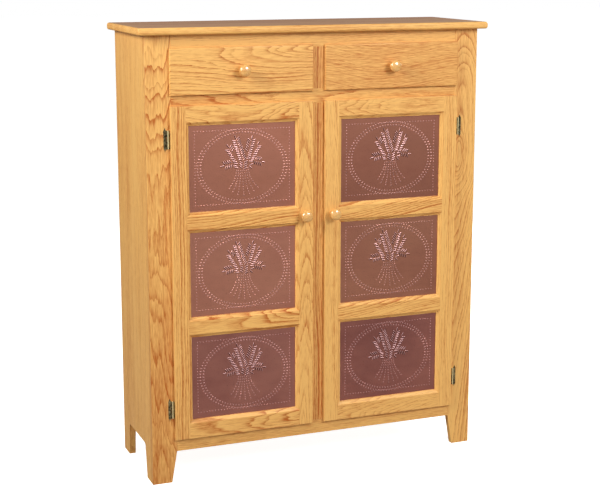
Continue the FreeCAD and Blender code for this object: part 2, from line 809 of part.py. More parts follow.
def make_drawer(name, side):
    x = span(side, leaf_outer, leaf_inner)
    bottom = drawer_opening_bottom - d.lip_cover
    top = drawer_opening_top + d.lip_cover
    inner_x = (x[0] + d.lip_inset, x[1] - d.lip_inset)
    inner_z = (bottom + d.lip_inset, top - d.lip_inset)
    body = new_body("DrawerFront")
    slab = body.newObject("PartDesign::AdditiveBox", "Lip")
    bind(slab, Length=leaf_width, Width=lip_thickness, Height=top - bottom)
    place(slab, (x[0], face, bottom))
    doc.recompute()
    y = face.number

    def front_edge(start, end):
        return near(start.y, y) and near(end.y, y)

    rounded(body, d.front_edge_radius, front_edge)
    core = body.newObject("PartDesign::AdditiveBox", "Core")
    core_size = (inner_x[1] - inner_x[0], d.stock - lip_thickness, inner_z[1] - inner_z[0])
    bind(core, Length=core_size[0], Width=core_size[1], Height=core_size[2])
    place(core, (inner_x[0], face + lip_thickness, inner_z[0]))
    doc.recompute()
    middle = ((x[0] + x[1]) / 2, face, (bottom + top) / 2)

    box_bottom = drawer_opening_bottom + d.drawer_lift
    height = (box_bottom, box_bottom + d.drawer_box_height)
    depth = (door_back, door_back + d.drawer_box_depth)
    thick = d.drawer_side_thickness
    floor_low = box_bottom + d.drawer_bottom_rise
    floor = (floor_low, floor_low + d.drawer_bottom_thickness)
    inside = (inner_x[0] + thick, inner_x[1] - thick)
    floor_x = (inside[0] - d.groove_depth, inside[1] + d.groove_depth)
    floor_y = (door_back - d.groove_depth, depth[1])

    def floor_board(label):
        return box(floor_x, floor_y, floor, label)

    node(cut(body, [knob_socket(middle), floor_board("FrontGroove")]), f"{name}_drawer_front")
    sides = [
        cut(box((inner_x[0], inside[0]), depth, height), [floor_board("Groove")]),
        cut(box((inside[1], inner_x[1]), depth, height), [floor_board("Groove")]),
    ]
    node(group(sides), f"{name}_drawer_sides")
    node(box(inside, (depth[1] - thick, depth[1]), (floor[1], height[1])), f"{name}_drawer_back")
    node(floor_board("Bottom"), f"{name}_drawer_bottom")
    make_knob(f"{name}_drawer_knob", middle)


# ---------------------------------------------------------------- assembly and export

make_top_board()
make_face_rails()
make_carcass_boards()
make_shelves()
make_drawer_guides()
make_catches()
make_cabinet_hinges()
for side_name, side_sign in SIDES:
    make_side_panel(side_name, side_sign)
    make_door(side_name, side_sign)
    make_drawer(side_name, side_sign)
doc.recompute()

for thing in doc.Objects:
    if "Invalid" in thing.State or "Error" in thing.State:
        raise ValueError(f"{thing.Label}: {thing.State}")
for thing in nodes:
    if thing.Shape.isNull() or not thing.Shape.isValid():
        raise ValueError(f"{thing.Label}: its shape is null or not valid")

os.makedirs("parts", exist_ok=True)
for thing in nodes:
    thing.Shape.exportStep(f"parts/{thing.Label}.step")
    print(thing.Label, len(thing.Shape.Solids), round(thing.Shape.Volume))
print(len(nodes), "nodes")
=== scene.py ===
import json
import math
from collections import namedtuple

import bmesh
import bpy
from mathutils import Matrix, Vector
from mathutils.geometry import delaunay_2d_cdt


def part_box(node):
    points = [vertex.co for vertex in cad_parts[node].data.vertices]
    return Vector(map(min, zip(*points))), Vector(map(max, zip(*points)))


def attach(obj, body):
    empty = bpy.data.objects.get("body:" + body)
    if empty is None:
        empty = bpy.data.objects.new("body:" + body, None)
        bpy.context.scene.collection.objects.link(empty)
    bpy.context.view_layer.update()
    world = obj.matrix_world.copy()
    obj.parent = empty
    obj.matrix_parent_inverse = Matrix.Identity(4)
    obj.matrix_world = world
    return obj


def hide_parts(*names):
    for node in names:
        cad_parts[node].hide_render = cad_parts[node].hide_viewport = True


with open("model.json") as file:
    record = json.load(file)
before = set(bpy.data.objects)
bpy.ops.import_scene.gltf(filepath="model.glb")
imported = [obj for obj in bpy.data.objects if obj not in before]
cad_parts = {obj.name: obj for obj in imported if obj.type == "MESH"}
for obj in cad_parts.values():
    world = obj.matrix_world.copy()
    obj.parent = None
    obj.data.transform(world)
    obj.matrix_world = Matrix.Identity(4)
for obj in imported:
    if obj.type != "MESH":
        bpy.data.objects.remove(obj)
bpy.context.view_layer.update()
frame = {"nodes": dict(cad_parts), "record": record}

# The looks of an oak pie safe with punched copper panels. Metres. The front faces -Y and +X is to its right.
# Every piece stands for the CAD node of the same board, sheet or fitting and keeps its place and outline.

SLOT_OF = {part["node"]: part["material_slot"] for part in frame["record"]["subparts"]}
BODY_OF = {
    node: body for body, members in frame["record"]["behaviour"]["bodies"].items() for node in members
}
MM = 0.001
AXES = "xyz"
SIDES = ("left", "right")


# ---------------------------------------------------------------- node trees


class Graph:
    """Short calls that add shader nodes to a tree and link them."""

    def __init__(self, tree):
        self.tree = tree

    def add(self, kind, inputs=(), **settings):
        added = self.tree.nodes.new(kind)
        for name, value in settings.items():
            setattr(added, name, value)
        for name, value in dict(inputs).items():
            self.feed(added.inputs[name], value)
        return added

    def feed(self, socket, value):
        if isinstance(value, bpy.types.NodeSocket):
            self.tree.links.new(value, socket)
        else:
            socket.default_value = value

    def math(self, operation, *values, clamp=False):
        return self.add("ShaderNodeMath", enumerate(values), operation=operation, use_clamp=clamp).outputs[0]

    def combine(self, x, y, z):
        return self.add("ShaderNodeCombineXYZ", enumerate((x, y, z))).outputs[0]

    def scaled(self, parts, factors):
        """A vector of three numbers, each times its own factor."""
        return self.combine(*[self.math("MULTIPLY", part, factor) for part, factor in zip(parts, factors)])

    def noise(self, vector, scale=1.0, detail=2.0, roughness=0.5):
        inputs = {"Vector": vector, "Scale": scale, "Detail": detail, "Roughness": roughness}
        return self.add("ShaderNodeTexNoise", inputs).outputs["Fac"]

    def centred(self, value, reach):
        """A 0 to 1 value turned into one from -reach to reach."""
        return self.math("MULTIPLY", self.math("SUBTRACT", value, 0.5), self.math("MULTIPLY", reach, 2))

    def levels(self, value, low, high, out_low=0.0, out_high=1.0):
        inputs = {0: value, 1: low, 2: high, 3: out_low, 4: out_high}
        return self.add("ShaderNodeMapRange", inputs, clamp=True).outputs[0]

    def ramp(self, value, stops, interpolation="LINEAR"):
        """A curve of three numbers through (place, numbers) stops."""
        curve = self.add("ShaderNodeValToRGB", {"Fac": value})
        curve.color_ramp.interpolation = interpolation
        points = curve.color_ramp.elements
        while len(points) < len(stops):
            points.new(0.5)
        for point, (place, numbers) in zip(points, stops):
            point.position = place
            point.color = (*numbers, 1)
        return curve.outputs["Color"]

    def mix(self, share, first, second):
        blend = self.add("ShaderNodeMix", {"Factor": share}, data_type="RGBA")
        self.feed(blend.inputs[6], first)
        self.feed(blend.inputs[7], second)
        return blend.outputs[2]

    def bump(self, height, strength, distance):
        return self.add(
            "ShaderNodeBump", {"Height": height, "Strength": strength, "Distance": distance}
        ).outputs["Normal"]


def rgb(red, green, blue):
    """A linear colour from 0 to 255 display numbers."""

    def linear(level):
        level /= 255
        return level / 12.92 if level <= 0.04045 else ((level + 0.055) / 1.055) ** 2.4

    return (linear(red), linear(green), linear(blue), 1.0)


def new_material(name):
    material = bpy.data.materials.new(name)
    material.use_nodes = True
    material.node_tree.nodes.clear()
    return material, Graph(material.node_tree)


def surface(graph, color, roughness, normal, **constants):
    """The shader itself. Constants go on its own sockets."""
    shader = graph.add("ShaderNodeBsdfPrincipled", {"Base Color": color, "Roughness": roughness})
    if normal is not None:
        graph.feed(shader.inputs["Normal"], normal)
    for name, value in constants.items():
        shader.inputs[name.replace("_", " ")].default_value = value
    graph.add("ShaderNodeOutputMaterial", {"Surface": shader.outputs[0]})
    return shader


# ---------------------------------------------------------------- oak

# How one board was sawn, in metres. along and across are axis letters, and the depth runs along the third
# axis. flow says where the centre of the growth rings lies, as stops of: share of the board's length,
# distance across from the board's low edge, and depth from its low side. ring is how far apart the rings
# are, wander how far the centre strays from the flow, and ripple how far each ring sways. contrast is how
# strongly the rings show, and tone how dark the board is. fade darkens the board and dims its rings towards
# its low end. stave is the width of the strips that a panel is glued up from. seed picks another place in
# the tree.
Sawn = namedtuple(
    "Sawn",
    "along across flow ring wander ripple contrast tone fade stave seed",
    defaults=(0.006, 0.02, 0.005, 0.8, 0.0, 0.0, 10.0, 0),
)
# The farthest that a flow goes from a board's low corner.
FLOW_REACH = 0.4
SEED_STEP = 3.1
# How dark one growth ring is from its inside to its outside.
RING_SHADE = ((0, 1.0), (0.1, 0.8), (0.35, 0.25), (0.92, 0.0), (1, 0.9))
# How far the rings' lines shake, and how uneven the rings' widths are.
TREMOR = 0.0013
UNEVEN = 1.3
# How far apart the staves of a panel were in the tree.
STAVE_SHIFT = 0.1
# How far each of these darkens or lightens the wood.
PORE_SHADE = 0.5
STREAK_SHADE = 0.52
FLECK_SHADE = 0.55
CLOUD_SHADE = 0.4
STAVE_SHADE = 0.24


def oak_figure():
    """The node group that works out oak's colour, roughness and relief inside the wood, in metres."""
    group = bpy.data.node_groups.new("oak_figure", "ShaderNodeTree")
    sockets = (
        ("INPUT", "NodeSocketVector", ("Place", "Flow")),
        ("INPUT", "NodeSocketFloat", ("Ring", "Wander", "Ripple", "Contrast", "Tone", "Stave")),
        ("INPUT", "NodeSocketColor", ("Light", "Dark")),
        ("OUTPUT", "NodeSocketColor", ("Color",)),
        ("OUTPUT", "NodeSocketFloat", ("Roughness", "Relief")),
    )
    for direction, kind, names in sockets:
        for name in names:
            group.interface.new_socket(name=name, in_out=direction, socket_type=kind)
    graph = Graph(group)
    given = graph.add("NodeGroupInput").outputs
    along, across, depth = graph.add("ShaderNodeSeparateXYZ", {0: given["Place"]}).outputs
    heart_across, heart_depth, _ = graph.add("ShaderNodeSeparateXYZ", {0: given["Flow"]}).outputs

    # A glued-up panel is staves side by side: each has its own place in the tree.
    stave = graph.math("FLOOR", graph.math("DIVIDE", across, given["Stave"]))
    own = graph.add("ShaderNodeTexWhiteNoise", {"W": stave}, noise_dimensions="1D").outputs["Color"]
    own_along, own_across, own_tone = graph.add("ShaderNodeSeparateColor", {0: own}).outputs
    inside = graph.math("SUBTRACT", across, graph.math("MULTIPLY", stave, given["Stave"]))
    shifted = graph.math("MULTIPLY_ADD", own_along, 7.0, along)
    panelled = graph.math("LESS_THAN", given["Stave"], 1.0)
    aside = graph.math("MULTIPLY", graph.math("SUBTRACT", own_across, 0.5), STAVE_SHIFT)
    aside = graph.math("MULTIPLY", aside, panelled)
    place = (shifted, inside, depth)

    # Growth rings round a centre that wanders, so a flat cut shows arches.
    stray = graph.noise(graph.scaled(place, (1.7, 1.5, 1.5)), detail=1)
    stray_side = graph.noise(graph.scaled(place, (2.6, 2.0, 7.0)), detail=1)
    off_across = graph.math("SUBTRACT", inside, graph.math("ADD", heart_across, aside))
    off_across = graph.math("ADD", off_across, graph.centred(stray_side, given["Wander"]))
    off_depth = graph.math("SUBTRACT", heart_depth, depth)
    off_depth = graph.math("ADD", off_depth, graph.centred(stray, given["Wander"]))
    square = graph.math("ADD", graph.math("POWER", off_across, 2), graph.math("POWER", off_depth, 2))
    distance = graph.math("SQRT", square)
    ripple = graph.noise(graph.scaled(place, (4.5, 46, 46)), detail=1.5)
    tremor = graph.noise(graph.scaled(place, (60, 420, 420)), detail=2)
    distance = graph.math("ADD", distance, graph.centred(ripple, given["Ripple"]))
    distance = graph.math("ADD", distance, graph.centred(tremor, TREMOR))
    turns = graph.math("DIVIDE", distance, given["Ring"])
    uneven = graph.noise(graph.combine(graph.math("MULTIPLY", turns, 0.4), 0.0, 0.0), detail=1)
    turns = graph.math("ADD", turns, graph.centred(uneven, UNEVEN))
    ring = graph.ramp(graph.math("FRACT", turns), [(place, [level] * 3) for place, level in RING_SHADE])
    strength = graph.noise(graph.combine(graph.math("FLOOR", turns), 3.7, own_tone), scale=0.9, detail=0)
    ring = graph.math("MULTIPLY", ring, graph.levels(strength, 0.3, 0.65, 0.3, 1.0))

    # Open pores crowd the early wood as short dark dashes; fine streaks run everywhere.
    dashes = graph.noise(graph.scaled(place, (70, 900, 900)), detail=1)
    pores = graph.levels(dashes, 0.55, 0.7)
    pores = graph.math("MULTIPLY", pores, graph.math("MULTIPLY_ADD", ring, 0.7, 0.3))
    streaks = graph.noise(graph.scaled(place, (6, 260, 260)), detail=3, roughness=0.65)
    flecks = graph.noise(graph.scaled(place, (34, 380, 380)), detail=1)
    clouds = graph.noise(graph.scaled(place, (2.4, 20, 20)), detail=2)

    shade = graph.math("MULTIPLY", ring, given["Contrast"])
    shade = graph.math("MULTIPLY_ADD", pores, PORE_SHADE, shade)
    shade = graph.math("ADD", shade, graph.centred(streaks, STREAK_SHADE))
    shade = graph.math("ADD", shade, graph.centred(flecks, FLECK_SHADE))
    shade = graph.math("ADD", shade, graph.centred(clouds, CLOUD_SHADE))
    own_shade = graph.math("MULTIPLY", graph.math("SUBTRACT", own_tone, 0.5), STAVE_SHADE)
    shade = graph.math("ADD", shade, graph.math("MULTIPLY", own_shade, panelled))
    shade = graph.math("ADD", shade, given["Tone"], clamp=True)
    color = graph.mix(shade, given["Light"], given["Dark"])
    roughness = graph.math("MULTIPLY_ADD", pores, 0.2, graph.levels(clouds, 0.3, 0.7, 0.38, 0.5))
    relief = graph.math("SUBTRACT", 1.0, graph.math("MULTIPLY_ADD", ring, 0.3, pores))
    graph.add("NodeGroupOutput", {"Color": color, "Roughness": roughness, "Relief": relief})
    return group


OAK_FIGURE = oak_figure()
# The light and dark colour of lacquered oak outside and of bare oak inside.
HONEY = (rgb(244, 191, 111), rgb(186, 99, 30))
INSIDE = (rgb(236, 188, 120), rgb(172, 106, 48))
# Weight and roughness of the lacquer on each kind of oak.
COATS = {"oak_honey": (0.12, 0.28), "oak_inside": (0.08, 0.35), "oak_plywood": (0.08, 0.35)}
# How much a board's rings are dimmed where it is darkened by 1.
RING_DIMMING = 1.7
# The painted reflection on the top board's upward face: its share and its dull mauve colour, then the
# roughness added there and the lacquer left.
TOP_REFLECTION_SHARE = 0.6
TOP_REFLECTION_COLOR = rgb(112, 90, 104)
TOP_FACE_ROUGHNESS = 0.3
TOP_FACE_COAT = 0.02


def flow_line(graph, share, flow):
    """The flow's stops as a smooth curve along the board."""

    def packed(metres):
        return metres / FLOW_REACH / 2 + 0.5

    stops = [(place, (packed(across), packed(depth), 0)) for place, across, depth in flow]
    curve = graph.ramp(share, stops, "CARDINAL")
    across, depth, _ = graph.add("ShaderNodeSeparateColor", {0: curve}).outputs
    unpacked = [graph.math("MULTIPLY_ADD", level, FLOW_REACH * 2, -FLOW_REACH) for level in (across, depth)]
    return graph.combine(*unpacked, 0.0)


def oak(name, slot, sawn, box, painted_top_reflection=False):
    """The material of one board, given its box's low and high corners. On the top board, the face that
    points straight up is painted dull mauve as the room's reflection in its finish, and is rougher with less
    lacquer."""
    material, graph = new_material(name)
    place = graph.add("ShaderNodeTexCoord").outputs["Object"]
    parts = graph.add("ShaderNodeSeparateXYZ", {0: place}).outputs
    letters = sawn.along + sawn.across
    letters += next(axis for axis in AXES if axis not in letters)
    order = [AXES.index(letter) for letter in letters]
    own = [graph.math("SUBTRACT", parts[index], box[0][index]) for index in order]
    length = (box[1] - box[0])[order[0]]
    share = graph.math("DIVIDE", own[0], length)
    fading = graph.math("MULTIPLY_ADD", share, -sawn.fade, sawn.fade)
    dimmed = graph.math("MULTIPLY_ADD", fading, -RING_DIMMING, 1.0)
    light, dark = HONEY if slot == "oak_honey" else INSIDE
    own[0] = graph.math("ADD", own[0], sawn.seed * SEED_STEP)
    inputs = {
        "Place": graph.combine(*own),
        "Flow": flow_line(graph, share, sawn.flow),
        "Ring": sawn.ring,
        "Wander": sawn.wander,
        "Ripple": sawn.ripple,
        "Contrast": graph.math("MULTIPLY", dimmed, sawn.contrast),
        "Tone": graph.math("ADD", fading, sawn.tone),
        "Stave": sawn.stave,
        "Light": light,
        "Dark": dark,
    }
    figure = graph.add("ShaderNodeGroup", node_tree=OAK_FIGURE)
    for socket, value in inputs.items():
        graph.feed(figure.inputs[socket], value)
    normal = graph.bump(figure.outputs["Relief"], 0.2, 0.0002)
    color = figure.outputs["Color"]
    roughness = figure.outputs["Roughness"]
    coat, coat_roughness = COATS[slot]
    if painted_top_reflection:
        facing = graph.add("ShaderNodeNewGeometry").outputs["Normal"]
        upwards = graph.add("ShaderNodeSeparateXYZ", {0: facing}).outputs[2]
        reflection_mask = graph.levels(upwards, 0.93, 0.99)
        # Painted reflection: where the top faces straight up, its colour is mixed towards dull mauve.
        color = graph.mix(graph.math("MULTIPLY", reflection_mask, TOP_REFLECTION_SHARE), color, TOP_REFLECTION_COLOR)
        roughness = graph.math("MULTIPLY_ADD", reflection_mask, TOP_FACE_ROUGHNESS, roughness)
        coat = TOP_FACE_COAT
    surface(graph, color, roughness, normal, Coat_Weight=coat, Coat_Roughness=coat_roughness, IOR=1.42)
    return material


# ---------------------------------------------------------------- metal and plastic


def copper(name, seed, light_patina_and_reflection, dark_patina_and_reflection):
    """Patinated copper sheet. Raised work is polished by rubbing and painted brighter as its highlight, and
    the cut side of an open mark is painted dark as the shade in its hole. The mesh's "raised" attribute
    marks both.
    """
    material, graph = new_material(name)
    place = graph.add("ShaderNodeTexCoord").outputs["Object"]
    x, y, z = graph.add("ShaderNodeSeparateXYZ", {0: place}).outputs
    parts = (graph.math("ADD", x, seed * 1.7), y, z)
    clouds = graph.noise(graph.scaled(parts, (5, 5, 9)), detail=3, roughness=0.55)
    brushed = graph.noise(graph.scaled(parts, (8, 8, 900)), detail=2)
    specks = graph.noise(graph.scaled(parts, (300, 300, 300)), detail=2)
    # The clouds mix the patina's own light and dark; each pair's overall lightness is painted reflection.
    color = graph.mix(graph.levels(clouds, 0.3, 0.7), light_patina_and_reflection, dark_patina_and_reflection)
    color = graph.mix(graph.levels(brushed, 0.35, 0.65, 0.0, 0.12), color, dark_patina_and_reflection)
    color = graph.mix(graph.levels(specks, 0.62, 0.72, 0.0, 0.3), color, rgb(70, 42, 38))
    raised = graph.add("ShaderNodeAttribute", attribute_name="raised").outputs["Fac"]
    # Painted highlight on real rubbing: the pushed-up rings are mixed towards pale pink.
    rubbed_and_glint = graph.levels(raised, 0.1, 1.0)
    color = graph.mix(rubbed_and_glint, color, rgb(246, 200, 204))
    # Painted shade: the cut side of each open mark is mixed towards near black, as the shade inside its
    # hole.
    painted_hole_shade = graph.levels(raised, -0.1, -0.6, 0.0, 0.9)
    color = graph.mix(painted_hole_shade, color, rgb(36, 18, 18))
    roughness = graph.levels(clouds, 0.3, 0.7, 0.36, 0.48)
    waves = graph.noise(graph.scaled(parts, (7, 7, 5)), detail=1)
    height = graph.math("MULTIPLY_ADD", brushed, 0.01, waves)
    surface(graph, color, roughness, graph.bump(height, 0.25, 0.006), Metallic=1.0)
    return material


HINGE_PIN_RADIUS = 1.5 * MM
# How far from the hinge's axis, to the side, the strip that is polished by rubbing and painted bright as the
# barrel's highlight ends and starts.
RUBBED_GLINT_STRIP = (1.9 * MM, 1.1 * MM)


def antique_brass():
    """Darkened brass. The front of each barrel is polished by rubbing and painted bright as its highlight.
    """
    material, graph = new_material("antique_brass")
    place = graph.add("ShaderNodeTexCoord").outputs["Object"]
    x = graph.add("ShaderNodeSeparateXYZ", {0: place}).outputs[0]
    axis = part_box("hinge_pins")[1].x - HINGE_PIN_RADIUS
    off_axis = graph.math("ABSOLUTE", graph.math("SUBTRACT", graph.math("ABSOLUTE", x), axis))
    rubbed_and_glint = graph.levels(off_axis, *RUBBED_GLINT_STRIP)
    clouds = graph.noise(place, scale=160, detail=3)
    scratches = graph.noise(place, scale=1400, detail=2)
    # Painted highlight: along the barrel's strip the tarnish is taken off and the colour goes to pale brass.
    tarnish_outside_glint = graph.math("SUBTRACT", graph.levels(clouds, 0.3, 0.6, 0.4, 1.0), rubbed_and_glint, clamp=True)
    color = graph.mix(tarnish_outside_glint, rgb(250, 236, 182), rgb(62, 52, 34))
    color = graph.mix(graph.levels(scratches, 0.6, 0.75, 0.0, 0.4), color, rgb(226, 210, 160))
    roughness = graph.math("MULTIPLY_ADD", rubbed_and_glint, 0.2, graph.levels(clouds, 0.3, 0.7, 0.2, 0.34))
    surface(graph, color, roughness, graph.bump(scratches, 0.2, 0.0001), Metallic=0.8)
    return material


def plated_steel():
    material, graph = new_material("plated_steel")
    place = graph.add("ShaderNodeTexCoord").outputs["Object"]
    spangle = graph.noise(place, scale=260, detail=2)
    grain = graph.noise(place, scale=1800, detail=2)
    color = graph.mix(graph.levels(spangle, 0.4, 0.6), rgb(196, 196, 192), rgb(164, 166, 166))
    roughness = graph.levels(spangle, 0.35, 0.65, 0.3, 0.42)
    surface(graph, color, roughness, graph.bump(grain, 0.15, 0.0001), Metallic=1.0)
    return material


def catch_plastic():
    material, graph = new_material("catch_plastic")
    place = graph.add("ShaderNodeTexCoord").outputs["Object"]
    grain = graph.noise(place, scale=1500, detail=2)
    clouds = graph.noise(place, scale=60, detail=2)
    color = graph.mix(graph.levels(clouds, 0.3, 0.7), rgb(92, 64, 42), rgb(72, 48, 32))
    roughness = graph.levels(grain, 0.3, 0.7, 0.45, 0.6)
    surface(graph, color, roughness, graph.bump(grain, 0.3, 0.0001))
    return material


# ---------------------------------------------------------------- meshes

# Wider than any face here.
NOTHING_BROAD = 1


def smooth(mesh, degrees=32, broad=3 * MM):
    """Smooth shading with creases where faces meet at more than the angle. Broad faces stay flat."""
    mesh.shade_smooth()
    mesh.set_sharp_from_angle(angle=math.radians(degrees))
    points = [vertex.co for vertex in mesh.vertices]
    for polygon in mesh.polygons:
        corners = [points[index] for index in polygon.vertices]
        around = sum((end - start).length for start, end in zip(corners, corners[1:] + corners[:1]))
        polygon.use_smooth = polygon.area * 2 < around * broad


def add_piece(name, mesh, node, material):
    """Puts a finished mesh into the scene in place of a CAD node."""
    mesh.materials.clear()
    mesh.materials.append(material)
    piece = bpy.data.objects.new(name, mesh)
    bpy.context.scene.collection.objects.link(piece)
    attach(piece, BODY_OF[node])
    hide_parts(node)


def welded(node):
    """A CAD node's shape as clean, joined faces."""
    shape = bmesh.new()
    shape.from_mesh(frame["nodes"][node].data)
    bmesh.ops.remove_doubles(shape, verts=shape.verts, dist=0.002 * MM)
    bmesh.ops.dissolve_limit(
        shape,
        angle_limit=math.radians(0.3),
        verts=shape.verts,
        edges=shape.edges,
        use_dissolve_boundaries=False,
    )
    bmesh.ops.recalc_face_normals(shape, faces=shape.faces)
    return shape


def sharp_edges(shape, wanted=lambda edge: True, shortest=3 * MM):
    return [
        edge
        for edge in shape.edges
        if len(edge.link_faces) == 2
        and edge.calc_length() > shortest
        and edge.calc_face_angle(0) > math.radians(30)
        and wanted(edge)
    ]


LIP_RADIUS = 2.8 * MM
LIP_SEGMENTS = 4
EDGE_SEGMENTS = 2


def ease(shape, edges, radius, segments):
    if edges:
        bmesh.ops.bevel(
            shape,
            geom=edges,
            offset=radius,
            offset_type="OFFSET",
            segments=segments,
            profile=0.5,
            affect="EDGES",
            clamp_overlap=True,
        )


def eased(node, radius, lip=None):
    """A CAD node's shape with its sharp edges eased, and its lip's front edge rounded where it has one."""
    shape = welded(node)
    if lip:
        ease(shape, sharp_edges(shape, lip), LIP_RADIUS, LIP_SEGMENTS)
    ease(shape, sharp_edges(shape), radius, EDGE_SEGMENTS)
    mesh = bpy.data.meshes.new(node)
    shape.to_mesh(mesh)
    shape.free()
    smooth(mesh)
    return mesh


# ---------------------------------------------------------------- boards


def even(across, depth):
    """A flow that stays the same from end to end."""
    return ((0, across, depth), (1, across, depth))


straight = dict(flow=even(-0.14, 0.02), ring=0.0075, wander=0.016, ripple=0.004, contrast=0.85)
quiet = dict(flow=even(-0.28, 0.05), ring=0.006, wander=0.03, ripple=0.004, contrast=0.4)
slanted = dict(flow=((0, -0.12, 0.04), (1, -0.075, 0.04)), ring=0.0068, wander=0.016, contrast=1.0)

BOARDS = {
    "top_board": Sawn("x", "y", even(0.05, -0.09), 0.006, 0.03, contrast=0.4, stave=0.09, seed=1),
    "side_panel_left": Sawn("z", "y", **quiet, stave=0.084, seed=2),
    "side_panel_right": Sawn("z", "y", **quiet, stave=0.084, seed=3),
    "stile_left": Sawn(
        "z",
        "x",
        (
            (0, 0.03, 0.07),
            (0.12, 0.012, 0.088),
            (0.35, -0.02, 0.1),
            (0.55, 0.016, 0.15),
            (0.78, 0.026, 0.122),
            (1, 0.024, 0.052),
        ),
        ring=0.0105,
        ripple=0.012,
        contrast=1.0,
        tone=0.06,
        fade=0.35,
        seed=4,
    ),
    "stile_right": Sawn(
        "z",
        "x",
        (
            (0, -0.024, 0.125),
            (0.3, -0.02, 0.095),
            (0.5, -0.008, 0.068),
            (0.62, 0.006, 0.042),
            (0.7, 0.018, 0.001),
            (0.76, 0.022, 0.017),
            (0.9, 0.03, 0.038),
            (1, 0.03, 0.07),
        ),
        ring=0.0066,
        wander=0.003,
        ripple=0.0022,
        contrast=0.75,
        seed=6,
    ),
    "top_rail": Sawn("x", "z", **quiet, seed=6),
    "middle_rail": Sawn(
        "x", "z", ((0, 0.03, 0.08), (1, 0.0, 0.03)), 0.0075, 0.04, contrast=0.7, tone=0.18, seed=7
    ),
    "bottom_rail": Sawn("x", "z", **quiet, tone=0.08, seed=8),
    "drawer_mullion": Sawn("z", "x", **straight, tone=0.2, seed=9),
    "door_mullion": Sawn("z", "x", **straight, tone=0.2, seed=10),
    "bottom_board": Sawn("x", "y", **quiet, stave=0.1, seed=11),
    "drawer_deck": Sawn("x", "y", **quiet, stave=0.1, seed=12),
    "lower_shelf": Sawn("x", "y", **quiet, stave=0.1, seed=13),
    "upper_shelf": Sawn("x", "y", **quiet, stave=0.1, seed=14),
    "shelf_cleats": Sawn("y", "z", **straight, seed=15),
    "drawer_guides": Sawn("y", "z", **straight, seed=16),
    "drawer_kickers": Sawn("y", "x", **straight, seed=17),
    "back_rails": Sawn("x", "z", **straight, seed=18),
    "back_panel": Sawn("z", "x", even(0.3, 0.05), 0.009, 0.08, contrast=0.5, stave=0.24, seed=19),
    "left_drawer_front": Sawn(
        "x",
        "z",
        ((0, 0.12, 0.06), (0.4, 0.112, 0.05), (1, 0.122, 0.008)),
        ring=0.0078,
        wander=0.006,
        contrast=0.85,
        seed=20,
    ),
    "right_drawer_front": Sawn(
        "x",
        "z",
        ((0, 0.2, 0.05), (0.4, 0.17, 0.05), (1, 0.2, 0.06)),
        ring=0.006,
        wander=0.01,
        contrast=0.4,
        tone=0.25,
        seed=21,
    ),
    "left_door_outer_stile": Sawn("z", "x", **straight, seed=30),
    "left_door_inner_stile": Sawn(
        "z",
        "x",
        ((0, 0.026, 0.015), (0.5, 0.03, 0.045), (1, 0.02, 0.075)),
        ring=0.0046,
        ripple=0.0025,
        wander=0.01,
        contrast=0.75,
        seed=31,
    ),
    "left_door_bottom_rail": Sawn(
        "x",
        "z",
        ((0, 0.03, 0.055), (0.5, 0.026, 0.035), (1, 0.034, 0.012)),
        ring=0.009,
        ripple=0.008,
        contrast=1.1,
        seed=32,
    ),
    "left_door_middle_rails": Sawn(
        "x",
        "z",
        ((0, 0.02, 0.05), (0.35, 0.026, 0.046), (1, 0.042, 0.008)),
        ring=0.0085,
        contrast=1.2,
        seed=33,
    ),
    "left_door_top_rail": Sawn(
        "x",
        "z",
        ((0, 0.07, 0.03), (0.55, 0.005, 0.03), (1, 0.03, 0.008)),
        ring=0.0078,
        ripple=0.008,
        contrast=0.9,
        tone=-0.09,
        seed=35,
    ),
    "right_door_outer_stile": Sawn(
        "z", "x", even(-0.12, 0.02), 0.007, 0.02, contrast=0.55, tone=-0.08, seed=50
    ),
    "right_door_inner_stile": Sawn("z", "x", **quiet, tone=-0.07, seed=51),
    "right_door_bottom_rail": Sawn(
        "x", "z", ((0, 0.0, 0.075), (1, -0.012, 0.012)), 0.0046, contrast=0.6, seed=52
    ),
    "right_door_middle_rails": Sawn("x", "z", **slanted, seed=53),
    "right_door_top_rail": Sawn(
        "x",
        "z",
        ((0, 0.03, 0.05), (0.6, 0.032, 0.026), (1, 0.04, 0.026)),
        ring=0.0046,
        ripple=0.007,
        contrast=0.6,
        seed=54,
    ),
}
for index, side in enumerate(SIDES):
    seed = 60 + index * 10
    door = f"{side}_door_"
    drawer = f"{side}_drawer_"
    BOARDS[door + "panel_stops"] = Sawn("z", "x", **straight, seed=seed)
    BOARDS[door + "knob"] = Sawn("y", "x", even(0.012, 0.02), 0.004, 0.01, contrast=0.4, seed=seed + 1)
    BOARDS[drawer + "knob"] = Sawn("y", "x", even(0.02, 0.012), 0.004, 0.01, contrast=0.4, seed=seed + 2)
    BOARDS[drawer + "sides"] = Sawn("y", "z", **straight, seed=seed + 3)
    BOARDS[drawer + "back"] = Sawn("x", "z", **straight, seed=seed + 4)
    BOARDS[drawer + "bottom"] = Sawn("x", "y", even(0.1, 0.05), 0.009, 0.06, contrast=0.4, seed=seed + 5)


def oak_of(node):
    return oak(f"{node}_oak", SLOT_OF[node], BOARDS[node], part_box(node), painted_top_reflection=node == "top_board")


def lip_edge(node):
    """Picks the front edges along the outside of a door that a stile or rail belongs to."""
    door = node.split("_")[0] + "_door_"
    members = [name for name in BOARDS if name.startswith(door) and name.endswith(("stile", "rail"))]
    boxes = [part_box(name) for name in members]
    low = [min(box[0][axis] for box in boxes) for axis in range(3)]
    high = [max(box[1][axis] for box in boxes) for axis in range(3)]
    near = 0.05 * MM

    def wanted(edge):
        ends = [vertex.co for vertex in edge.verts]
        if any(abs(end.y - low[1]) > near for end in ends):
            return False
        return any(
            all(abs(end[axis] - limit[axis]) < near for end in ends)
            for axis in (0, 2)
            for limit in (low, high)
        )

    return wanted


DOOR_EDGE_RADIUS = 0.35 * MM
BOARD_EDGE_RADIUS = 0.7 * MM


